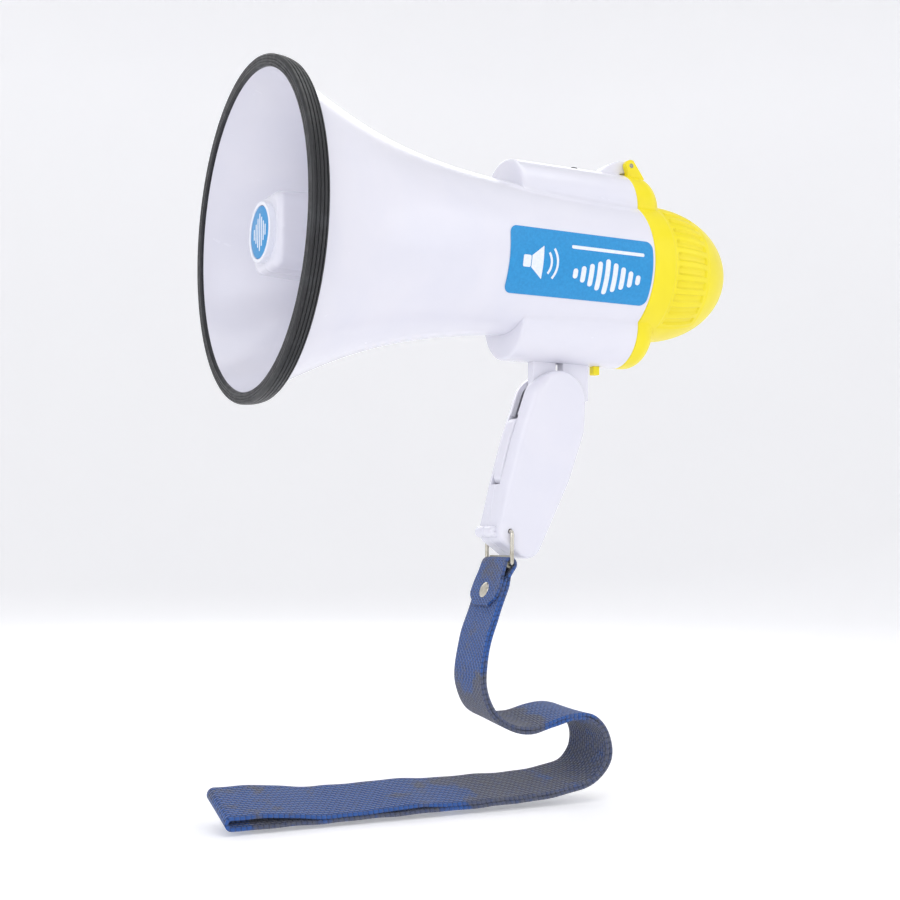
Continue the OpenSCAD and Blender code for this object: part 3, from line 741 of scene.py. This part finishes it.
def cap_rows(inset, step, lobe_steps, side_steps, sink=None):
    """Rows of the cap's skin, from the seam to the nose."""
    radius, corner = LUMP_R - inset, LOBE_CORNER - inset
    ends = [end - inset for end in LOBE_ENDS]

    def lobe_at(x, end):
        if x > end:
            return None
        if x <= end - corner:
            return radius
        return radius - corner + math.sqrt(max(0.0, corner ** 2 - (x - end + corner) ** 2))

    first = SEAM_X + 0.04
    stops = {first, first + 0.3, DOME_X, *ends}
    count = int((NOSE_X - SEAM_X) / step)
    stops |= {SEAM_X + 0.6 + (NOSE_X - SEAM_X - 0.6) * i / count for i in range(count + 1)}
    for end in ends:
        stops |= {end - corner + corner * math.sin(math.radians(90 * i / 10)) for i in range(11)}
    rows, creases = [], [crease(DOME_R, LUMP_R)] * 2
    trim = 0.3 if inset == 0 else 0.0
    for x in sorted(stops):
        r = dome_radius(x, inset) - (trim if x == first else 0)
        lobes = [lobe_at(x, end) for end in ends]
        if x == first:
            lobes = [lobe - trim for lobe in lobes]
        for i in (0, 1):
            if lobes[i]:
                creases[i] = crease(r, lobes[i])
        rows.append(polar_row(x, r, tuple(creases), tuple(lobes), lobe_steps, side_steps, sink))
        if x in ends:
            lobes[ends.index(x)] = None
            rows.append(polar_row(x, r, tuple(creases), tuple(lobes), lobe_steps, side_steps, sink))
    start = math.asin(min(1.0, (NOSE_X - DOME_X) / (DOME_LEN - inset)))
    for i in range(1, 31):
        turn = start + (math.pi / 2 - start) * i / 30
        x, r = dome_point(turn, inset)
        r = r if i < 30 else 0.0
        rows.append(polar_row(x, r, tuple(creases), (None, None), lobe_steps, side_steps, sink))
    return rows


def cap_arm(side):
    """Hinge arm beside the lug, from the pin down onto the cap's battery lobe."""
    outline = arc(HINGE_X, HINGE_Z, 3, 60, 215, 14) + [(184, 46.4), (184, 44), (191, 42.5), (193.6, 44.2)]
    arm = extrude("arm", outline, 1.6, at, None, side * 5.9)
    return soften(arm, 0.5)


def rear_cap():
    side_steps = 200
    step = 0.45
    outer = cap_rows(0, step, 20, side_steps, cap_sink)
    inner = cap_rows(CAP_WALL, 2.5, 20, side_steps)
    rows = outer + inner[::-1]
    joins = [(i, i + 1) for i in range(len(rows) - 1) if i != len(outer) - 1] + [(len(rows) - 1, 0)]
    cap = make("rear_cap_shell", *stack(rows, joins), YELLOW, 34)
    slots = []
    for z in (-6, -3, 0, 3, 6):
        half = 7 - abs(z) / 3
        slots.append(slab(at, (229, 245), (-half, half), (z - 0.6, z + 0.6)))
    carve(cap, *slots, angle=34)
    extras = [cap_arm(side) for side in (-1, 1)]
    for side in (-1, 1):
        prong = slab(at, (173, 187), (side * 3.2 - 0.8, side * 3.2 + 0.8), (-40.2, -39))
        extras.append(soften(prong, 0.25))
    merge(cap, *extras)
    cap.data.set_sharp_from_angle(angle=math.radians(40))
    return place_piece(cap, "cap", "yellow_plastic", "rear_cap")


# ---------------------------------------------------------------- controls
def thumb_wheel():
    middle_x, middle_y, radius, teeth = 168, 25.5, 9.2, 24
    outline = []
    for i in range(12 * teeth):
        a = 2 * math.pi * i / (12 * teeth)
        r = radius - 0.5 * max(0.0, math.cos(teeth * a)) ** 4
        outline.append((r * math.cos(a), r * math.sin(a)))
    rows = []
    for z, scale in ((-1.8, 0.96), (-1.62, 0.985), (-1.3, 1.0), (1.3, 1.0), (1.62, 0.985), (1.8, 0.96)):
        rows.append([at(middle_x + x * scale, middle_y + y * scale, z) for x, y in outline])
    wheel = make("thumb_wheel", *stack(rows, caps=(0, 5)), SHELL)
    place_piece(wheel, "volume", "shell_plastic", "volume_wheel")


def record_key():
    outline = rounded([(0, 0), (0, 5), (7.2, 5), (7.2, 6.4), (8.4, 6.4), (8.4, 5), (13.8, 5), (13.2, 2.4),
                       (13.1, 0)], 0.7)
    profile = [(x, max(0.0, r)) for x, r in outline]
    button = spin("record_key", profile, at(140, 19.8, 0), (0, 1, 0), RED, 64)
    place_piece(button, "record", "red_plastic", "record_button")


def slide_knob():
    knob = soften(slab(at, (156.4, 159.6), (-1.9, 1.9), (43.2, 46.9)), 0.35)
    base = soften(slab(at, (150, 166), (-3.4, 3.4), (42.1, 43.4)), 0.2)
    ridges = [soften(slab(at, (x, x + 0.4), (-1.7, 1.7), (46.7, 46.9)), 0.08) for x in (157.0, 157.8, 158.6)]
    slider = merge(base, knob, *ridges)
    slider.name = "slide_knob"
    slider.data.materials.append(BLACK)
    place_piece(slider, "function", "black_plastic", "function_slider")


def latch_tab():
    tab = soften(slab(at, (168.4, 171.8), (-1.9, 1.9), (-49.9, -40.2)), 0.45)
    foot = soften(slab(at, (166, 172.2), (-3.6, 3.6), (-43.4, -42.6)), 0.15)
    latch = merge(tab, foot)
    latch.name = "latch_tab"
    latch.data.materials.append(YELLOW)
    place_piece(latch, "latch", "yellow_plastic", "latch_button")


def hinge_rod():
    length, radius = 15.2, 1.2
    outline = rounded([(0, 0), (0, radius), (length, radius), (length, 0)], 0.35)
    pin = spin("hinge_rod", outline, at(HINGE_X, -length / 2, HINGE_Z), (0, 1, 0), STEEL, 40)
    place_piece(pin, "housing", "zinc_steel", "cap_hinge_pin")


# ---------------------------------------------------------------- bracket and grip
def bracket():
    """Tongue under the lower battery barrel, with a gap between its two feet."""
    front, back = BRACKET_ENDS
    start = math.degrees(math.acos((front - PIVOT_X) / FOOT_R))
    outline = [(front, -44), *arc(PIVOT_X, PIVOT_Z, FOOT_R, start, 360, 44), (back, PIVOT_Z), (back, -44),
               (151.2, -44), (151.2, -51.5), (147.5, -51.5), (147.5, -44)]
    tongue = soften(extrude("bracket_tongue", outline, TONGUE_HALF, at, SHELL), 0.45)
    carve(tongue, rod(at(PIVOT_X, -20, PIVOT_Z), at(PIVOT_X, 20, PIVOT_Z), 2.55))
    return place_piece(tongue, "housing", "shell_plastic", "handle_bracket")


def grip_nodes(count=200):
    """Where a taut line round the discs touches them: (normal angle, disc, next disc, share of the way)."""
    def touch(angle):
        c, s = math.cos(angle), math.sin(angle)
        reach = [u * c + w * s + r for u, w, r in GRIP_DISCS]
        return reach.index(max(reach))

    result, last = [], touch(0)
    for k in range(count):
        angle = 2 * math.pi * k / count
        disc = touch(angle)
        if disc != last:
            result += [(angle - math.pi / count, last, disc, t / 8) for t in range(9)]
            last = disc
        result.append((angle, disc, disc, 0))
    return result


GRIP_NODES = grip_nodes()


def grip_outline(inset, front_inset):
    outline = []
    for angle, a, b, t in GRIP_NODES:
        radii = [GRIP_DISCS[i][2] - (front_inset if i >= FIRST_FRONT_DISC else inset) for i in (a, b)]
        ends = [(GRIP_DISCS[i][0] + r * math.cos(angle), GRIP_DISCS[i][1] + r * math.sin(angle))
                for i, r in zip((a, b), radii)]
        outline.append((ends[0][0] * (1 - t) + ends[1][0] * t, ends[0][1] * (1 - t) + ends[1][1] * t))
    return outline


def grip_half(side):
    """One half of the grip. Its outer edge rounds over from the flat face, further at the front."""
    deep_front, deep_rear = 6.4, 2.6
    start = GRIP_HALF - deep_front
    levels = [(0, 0.3, 0.3), (0.3, 0, 0), (start, 0, 0)]
    for i in range(1, 19):
        turn = math.radians(90 * i / 18)
        rear = max(0.0, 1 - deep_front * (1 - math.sin(turn)) / deep_rear)
        levels.append((start + deep_front * math.sin(turn), 2 * (1 - math.sqrt(1 - rear * rear)),
                       4.2 * (1 - math.cos(turn))))
    levels.append((GRIP_HALF, 4, 6.2))
    rows = [[on_grip(u, side * y, w) for u, w in grip_outline(inset, front)] for y, inset, front in levels]
    name = "grip_half_near" if side < 0 else "grip_half_far"
    shell = make(name, *stack(rows, caps=(0, len(rows) - 1)), SHELL, 30)
    nub = spin("nub", rounded([(0, 0), (0, 2.6), (7.5, 2.6), (7.5, 0)], 1.2, 6),
               on_grip(-12, 0, -68.4), (0, side, 0), None, 40)
    carve(shell, nub, operation="UNION", angle=30)
    hollow = [[on_grip(u, side * y, w) for u, w in grip_outline(2.2, 2.2)] for y in (-1, 7.8)]
    tools = [make("hollow", *stack(hollow, caps=(0, 1))),
             rod(on_grip(0, -3.05, 0), on_grip(0, 3.05, 0), 14.4, 96),
             slab(on_grip, (-22, 0), (-3.05, 3.05), (-15, 20)),
             slab(on_grip, (-22, 22), (-3.05, 3.05), (0, 20)),
             slab(on_grip, (-24, -9), (-3.9, 3.9), (-47, -14)),
             rod(on_grip(RING_HOLE[0], -20, RING_HOLE[1]), on_grip(RING_HOLE[0], 20, RING_HOLE[1]),
                 WIRE_R + 0.3, 32)]
    if side > 0:
        tools += [rod(on_grip(u, GRIP_HALF - 3, w), on_grip(u, GRIP_HALF + 2, w), 2.8, 40) for u, w in SCREWS]
    carve(shell, *tools, angle=30)
    node = "grip_shell_left" if side < 0 else "grip_shell_right"
    return place_piece(shell, "grip", "shell_plastic", node)


def screws():
    """Pan heads with a cross recess, down in the far shell."""
    heads = []
    for u, w in SCREWS:
        base = on_grip(u, 7, w)
        dome = [(0, 0), (0, 2.6), (0.9, 2.6), (1.3, 2.35), (1.6, 1.8), (1.75, 1.0), (1.8, 0)]
        head = spin("head", dome, base, (0, 1, 0), STEEL, 48)
        cross = [slab(on_grip, (u - a, u + a), (8.1, 9.4), (w - b, w + b))
                 for a, b in ((1.5, 0.3), (0.3, 1.5))]
        carve(head, *cross)
        heads += [head, spin("shank", [(0, 0), (0, 1.4), (12, 1.4), (12, 0)], base - Vector((0, 12 * MM, 0)),
                             (0, 1, 0), STEEL, 32)]
    group = merge(*heads)
    group.name = "shell_screws"
    return place_piece(group, "grip", "zinc_steel", "grip_screws")


def trigger_lever():
    outline = rounded([(-13.6, -15.2), (-16.2, -15.6), (-17.3, -18), (-17.3, -26), (-16.7, -36), (-15.6, -44),
                       (-13, -46.2), (-9.2, -45.4), (-9.2, -18), (-11.5, -15.4)], 1.2, 4)
    lever = soften(extrude("trigger_lever", outline, 3.5, on_grip, SHELL), 0.9, 4)
    carve(lever, rod(on_grip(TRIGGER_PIN[0], -20, TRIGGER_PIN[1]),
                     on_grip(TRIGGER_PIN[0], 20, TRIGGER_PIN[1]), 1.05, 32),
          slab(on_grip, (-15, -5), (-2.2, 2.2), (-39, -17)))
    return place_piece(lever, "trigger", "shell_plastic", "trigger")


def sweep(name, path, radius, material, steps=20):
    """A wire along a closed path of points."""
    count, rows = len(path), []
    for i, point in enumerate(path):
        ahead = (path[(i + 1) % count] - path[i - 1]).normalized()
        side = ahead.cross(Vector((1, 0, 0))).normalized()
        up = side.cross(ahead).normalized()
        turns = [2 * math.pi * k / steps for k in range(steps)]
        rows.append([point + (side * math.cos(a) + up * math.sin(a)) * radius * MM for a in turns])
    return make(name, *stack(rows, ring_of(count)), material, 60)


def wire_ring():
    """Bent wire ring through the foot of the grip, and the folded steel clasp on its lower side."""
    corner = 1.6
    outline = []
    for cy, cz, start in ((1, 0, 0), (-1, 0, 90), (-1, -1, 180), (1, -1, 270)):
        y = cy * (RING_HALF - corner)
        z = cz * RING_DROP + (corner if cz else -corner)
        outline += arc(y, z, corner, start, start + 90, 6)
    path = []
    for i, (y, z) in enumerate(outline):
        nxt = outline[(i + 1) % len(outline)]
        gap = math.hypot(nxt[0] - y, nxt[1] - z)
        parts = max(1, int(gap / 1.5))
        for k in range(parts):
            path.append(from_ring(0, y + (nxt[0] - y) * k / parts, z + (nxt[1] - z) * k / parts))
    wire = sweep("ring_wire", path, WIRE_R, WIRE)
    place_piece(wire, "ring", "bright_wire", "strap_ring")

    tab = [(0.4, -10.8), (0.55, -10.6), (1.15, -10.6), (1.3, -10.8)]
    profile = arc(0, -RING_DROP, 1.7, 70, -250, 28) + tab
    clasp = soften(extrude("ring_clasp", profile, 9.5, from_ring, STEEL), 0.2, 2)
    carve(clasp, rod(from_ring(0, -30, -RING_DROP), from_ring(0, 30, -RING_DROP), WIRE_R + 0.02, 32))
    place_piece(clasp, "ring", "zinc_steel", "ring_plate")


# ---------------------------------------------------------------- wrist strap
STRAP_W, WEB_T = 25, 1.5
# Distance along the doubled strap at which its short flap ends, and the air between its layers
FLAP_END, LAYER_GAP = 19.5, 0.06
# The route from the ring to the folded end: x from the bell mouth, height
ROUTE = ((119.1, -139.6), (115.5, -149), (112, -158.5), (108, -170), (105.5, -181), (105.7, -191),
         (110, -200.5), (118.5, -206.5), (129, -208), (140, -205.5), (151, -204), (161, -206.5),
         (167, -214), (167, -225), (160, -233), (147, -236.5), (130, -238), (112, -238.5),
         (94, -238.7), (75, -238.8), (56, -238.9), (38, -239), (20, -239), (5, -239), (-7, -238.8))
# How far the far edge is displaced at each of those points
TILT = (0, 0, 0, 0, 0, 0, 0.5, 1.6, 2.4, 2.4, 1.6, 0, -1.6, -3, -3, -3, -3.2, -3.5, -3.6, -3.6, -3.8,
        -4, -4, -4, -4)


def strap_line(step=1.4):
    """The doubled strap's middle line at even steps: (x, z, tilt, distance along)."""
    stops = [(a[0], a[1], t) for a, t in zip(ROUTE, TILT)]
    fine = []
    for i in range(len(stops) - 1):
        p = [stops[max(0, min(len(stops) - 1, i + k))] for k in (-1, 0, 1, 2)]
        for j in range(24):
            t = j / 24
            fine.append([0.5 * (2 * b + (c - a) * t + (2 * a - 5 * b + 4 * c - d) * t * t
                                + (3 * b - a - 3 * c + d) * t ** 3) for a, b, c, d in zip(*p)])
    fine.append(list(stops[-1]))
    lengths = [0.0]
    for a, b in zip(fine, fine[1:]):
        lengths.append(lengths[-1] + math.hypot(b[0] - a[0], b[1] - a[1]))
    count = int(lengths[-1] / step)
    line, k = [], 0
    for i in range(count + 1):
        goal = lengths[-1] * i / count
        while k < len(fine) - 2 and lengths[k + 1] < goal:
            k += 1
        t = (goal - lengths[k]) / (lengths[k + 1] - lengths[k])
        line.append(tuple(a + (b - a) * t for a, b in zip(fine[k], fine[k + 1])) + (goal,))
    return line


def lift_off_floor(z, tilt):
    """Height that keeps a tilted stretch of the strap on the floor and not in it."""
    return z + abs(tilt) * 0.55 * smooth(-z, 215, 236)


def strap_frames():
    """Places along the doubled strap: (point, normal, tilt, distance along)."""
    line = strap_line()
    frames = []
    for i, (x, z, tilt, s) in enumerate(line):
        a, b = line[max(0, i - 1)], line[min(len(line) - 1, i + 1)]
        d = Vector((b[0] - a[0], b[1] - a[1])).normalized()
        frames.append((Vector((x, lift_off_floor(z, tilt))), Vector((-d.y, d.x)), tilt, s))
    return frames


def layer_gap(s, total):
    """How far the two layers stand apart beyond touching."""
    fold = smooth(s, total - 46, total - 10) * 2.6
    middle = 0.9 * math.exp(-((s - (total - 78)) / 14) ** 2)
    return LAYER_GAP * 2 + fold + middle


def web_path(frames):
    """The single webbing's way: up the flap, over the clasp, down one layer, round the fold and back up."""
    total = frames[-1][3]
    flap = [(p - m * (1.5 * WEB_T + 0.35 * (1 - s / FLAP_END) + 0.15), m, tilt, s)
            for p, m, tilt, s in frames[::-1] if 1.5 < s < FLAP_END]
    web = list(flap)
    bar = from_ring(0, 0, -RING_DROP)
    centre = Vector(((bar.x - FRONT_X) / MM, (bar.z - AXIS_Z) / MM))
    normal = frames[0][1]
    up = Vector((-normal.y, normal.x)) if normal.x > 0 else Vector((normal.y, -normal.x))
    for i in range(13):
        turn = math.pi * i / 12
        web.append((centre + (up * math.sin(turn) - normal * math.cos(turn)) * 2.55, normal, 0, 0.0))
    for p, m, tilt, s in frames[2:]:
        web.append((p + m * (WEB_T / 2 + LAYER_GAP), m, tilt, s))
    p, m, tilt, s = frames[-1]
    ahead = Vector((m.y, -m.x))
    radius = (WEB_T + LAYER_GAP + layer_gap(s, total)) / 2
    pivot = p + m * (WEB_T / 2 + LAYER_GAP) - m * radius
    for i in range(1, 12):
        turn = math.pi * i / 12
        web.append((pivot + m * radius * math.cos(turn) + ahead * radius * math.sin(turn), m, tilt, s))
    for p, m, tilt, s in frames[:2:-1]:
        web.append((p - m * (WEB_T / 2 + layer_gap(s, total)), m, tilt, s))
    return web, len(flap)


def webbing_mesh(web, flap_count, across=18):
    """The webbing along its way, with a round end on the flap and where on the weave each point lies."""
    rows, lays, run = [], [], 0.0
    for i, (p, m, tilt, s) in enumerate(web):
        before, after = web[max(0, i - 1)][0], web[min(len(web) - 1, i + 1)][0]
        run += (p - web[i - 1][0]).length if i else 0.0
        d = (after - before).normalized()
        n = Vector((-d.y, d.x))
        half = STRAP_W / 2 - 1.6 * (1 - smooth(s, 0, 9))
        if i < flap_count:
            half = min(half, math.sqrt(max(0.35, 1 - (1 - min(1.0, run / 6.5)) ** 2)) * STRAP_W / 2)
        ripple = 0.12 * math.sin(run / 5.3) + 0.1 * math.sin(run / 2.9 + 1)
        steps = [(half - 0.4) * (2 * j / (across - 1) - 1) for j in range(across)]
        ring = [(v, WEB_T / 2) for v in steps] + [(half, 0.0)]
        ring += [(v, -WEB_T / 2) for v in steps[::-1]] + [(-half, 0.0)]
        row = []
        for v, lift in ring:
            share = v / (STRAP_W / 2)
            q = p + m * (tilt * share) + n * (lift + ripple * share * share)
            row.append(at(q.x, v, q.y))
            lays.append((run * MM, v * MM, greyness(s, i > len(web) / 2)))
        rows.append(row)
    points, faces = stack(rows, caps=(0, len(rows) - 1))
    mesh = bpy.data.meshes.new("wrist_webbing")
    mesh.from_pydata([tuple(p) for p in points], [], faces)
    lay = mesh.attributes.new("lay", "FLOAT_VECTOR", "POINT")
    lay.data.foreach_set("vector", [c for row in lays for c in row])
    piece = bpy.data.objects.new("wrist_webbing", mesh)
    bpy.context.collection.objects.link(piece)
    mesh.materials.append(WEBBING)
    tidy(piece, 50)
    return piece


def rivet_caps(frames):
    """Two domed caps, one on each face of the doubled webbing."""
    p, m = frames[round(11.3 / frames[-1][3] * len(frames))][:2]
    rivets = []
    for side, lift in ((-1, 2 * WEB_T + 0.15), (1, WEB_T)):
        dome = [(0, 0), (0, 3.45), (0.25, 3.6), (0.45, 3.45), (0.75, 2.6), (0.92, 1.4), (0.97, 0)]
        foot = p + m * side * lift
        rivets.append(spin("rivet", dome, at(foot.x, 0, foot.y), (m.x * side, 0, m.y * side), WIRE, 48))
    rivet = merge(*rivets)
    rivet.name = "rivet_caps"
    return rivet


def strap():
    frames = strap_frames()
    piece = webbing_mesh(*web_path(frames))
    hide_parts("wrist_strap")
    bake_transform(piece)
    rivet = rivet_caps(frames)
    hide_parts("strap_rivet")
    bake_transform(rivet)


def greyness(s, upper):
    """0 where the webbing shows blue and 1 where it shows grey."""
    grey = smooth(s, 40, 62) * (1 - smooth(s, 84, 100)) * 0.9
    grey += smooth(s, 112, 128) * (1 - smooth(s, 196, 222)) * 1.0
    if not upper:
        grey += 0.7 * smooth(s, 214, 232)
    return min(1.0, grey + 0.12)


# ---------------------------------------------------------------- CAD parts that stay
def finish_cad_parts():
    finishes = {
        SHELL: ("tone_tube", "board_standoffs"),
        BLACK: ("driver_gasket", "upper_cell_tray", "lower_cell_tray", "volume_pot", "record_switch",
                "pivot_washers", "trigger_switch", "board_components"),
        STEEL: ("driver_frame", "driver_screws", "tray_contacts", "function_switch", "cap_contacts",
                "mic_capsule", "pivot_pin", "trigger_pin", "trigger_spring"),
        CONE: ("driver_diaphragm",), FERRITE: ("driver_magnet",), CELLS: ("upper_cells", "lower_cells"),
        BOARD: ("amp_board",), FOAM: ("mic_foam",)}
    for material, names in finishes.items():
        for name in names:
            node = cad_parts[name]
            if not node.material_slots:
                node.data.materials.append(material)
            for slot in node.material_slots:
                slot.material = material


# ---------------------------------------------------------------- stage and light
def stage():
    finish = Finish("pale_floor", Roughness=0.75)
    finish.colour(finish.blend(finish.noise(3, 2), rgb(246, 246, 248), rgb(243, 243, 246)))
    finish.shader.inputs["Emission Color"].default_value = (1, 1, 1, 1)
    finish.shader.inputs["Emission Strength"].default_value = 0.24
    profile = [(0, 0), (1.4, 0)] + [(1.4 + 1.1 * math.sin(a), 1.1 * (1 - math.cos(a)))
                                    for a in [math.pi / 2 * i / 24 for i in range(1, 25)]] + [(2.5, 2.6)]
    rows = [[Vector((r * math.cos(a), r * math.sin(a), FLOOR_Z + z)) for a in
             [2 * math.pi * k / 96 for k in range(96)]] for r, z in profile]
    floor = make("studio_floor", *stack(rows), finish.material, 60)
    mesh = bmesh.new()
    mesh.from_mesh(floor.data)
    bmesh.ops.reverse_faces(mesh, faces=mesh.faces)
    mesh.to_mesh(floor.data)
    mesh.free()


def softbox(name, place, target, size, power, colour=(1, 1, 1)):
    lamp = bpy.data.objects.new(name, bpy.data.lights.new(name, "AREA"))
    lamp.data.shape = "RECTANGLE"
    lamp.data.size, lamp.data.size_y = size
    lamp.data.energy = power
    lamp.data.color = colour
    lamp.location = place
    lamp.rotation_euler = (Vector(target) - Vector(place)).to_track_quat("-Z", "Y").to_euler()
    bpy.context.collection.objects.link(lamp)


def light():
    world = bpy.data.worlds.new("studio")
    bpy.context.scene.world = world
    world.use_nodes = True
    background = world.node_tree.nodes["Background"]
    background.inputs["Color"].default_value = (0.97, 0.98, 1.0, 1)
    background.inputs["Strength"].default_value = 0.24
    middle = at(100, 0, -40)
    softbox("top_box", (0.0, -0.1, 1.15), middle, (1.1, 1.1), 6.4)
    softbox("front_box", (-1.1, -0.9, 0.55), middle, (0.6, 1.0), 3.8)
    softbox("side_box", (1.1, -0.8, 0.45), middle, (0.5, 1.0), 1.6)
    softbox("back_box", (0.3, 1.2, 0.7), middle, (1.2, 0.8), 3.2)
    scene = bpy.context.scene
    scene.view_settings.view_transform = "Standard"


strap()
horn_shell()
rim_ring()
plug_block()
plug_trim()
side_print()
rear_cap()
thumb_wheel()
record_key()
slide_knob()
latch_tab()
hinge_rod()
bracket()
grip_half(-1)
grip_half(1)
screws()
trigger_lever()
wire_ring()
finish_cad_parts()
stage()
light()
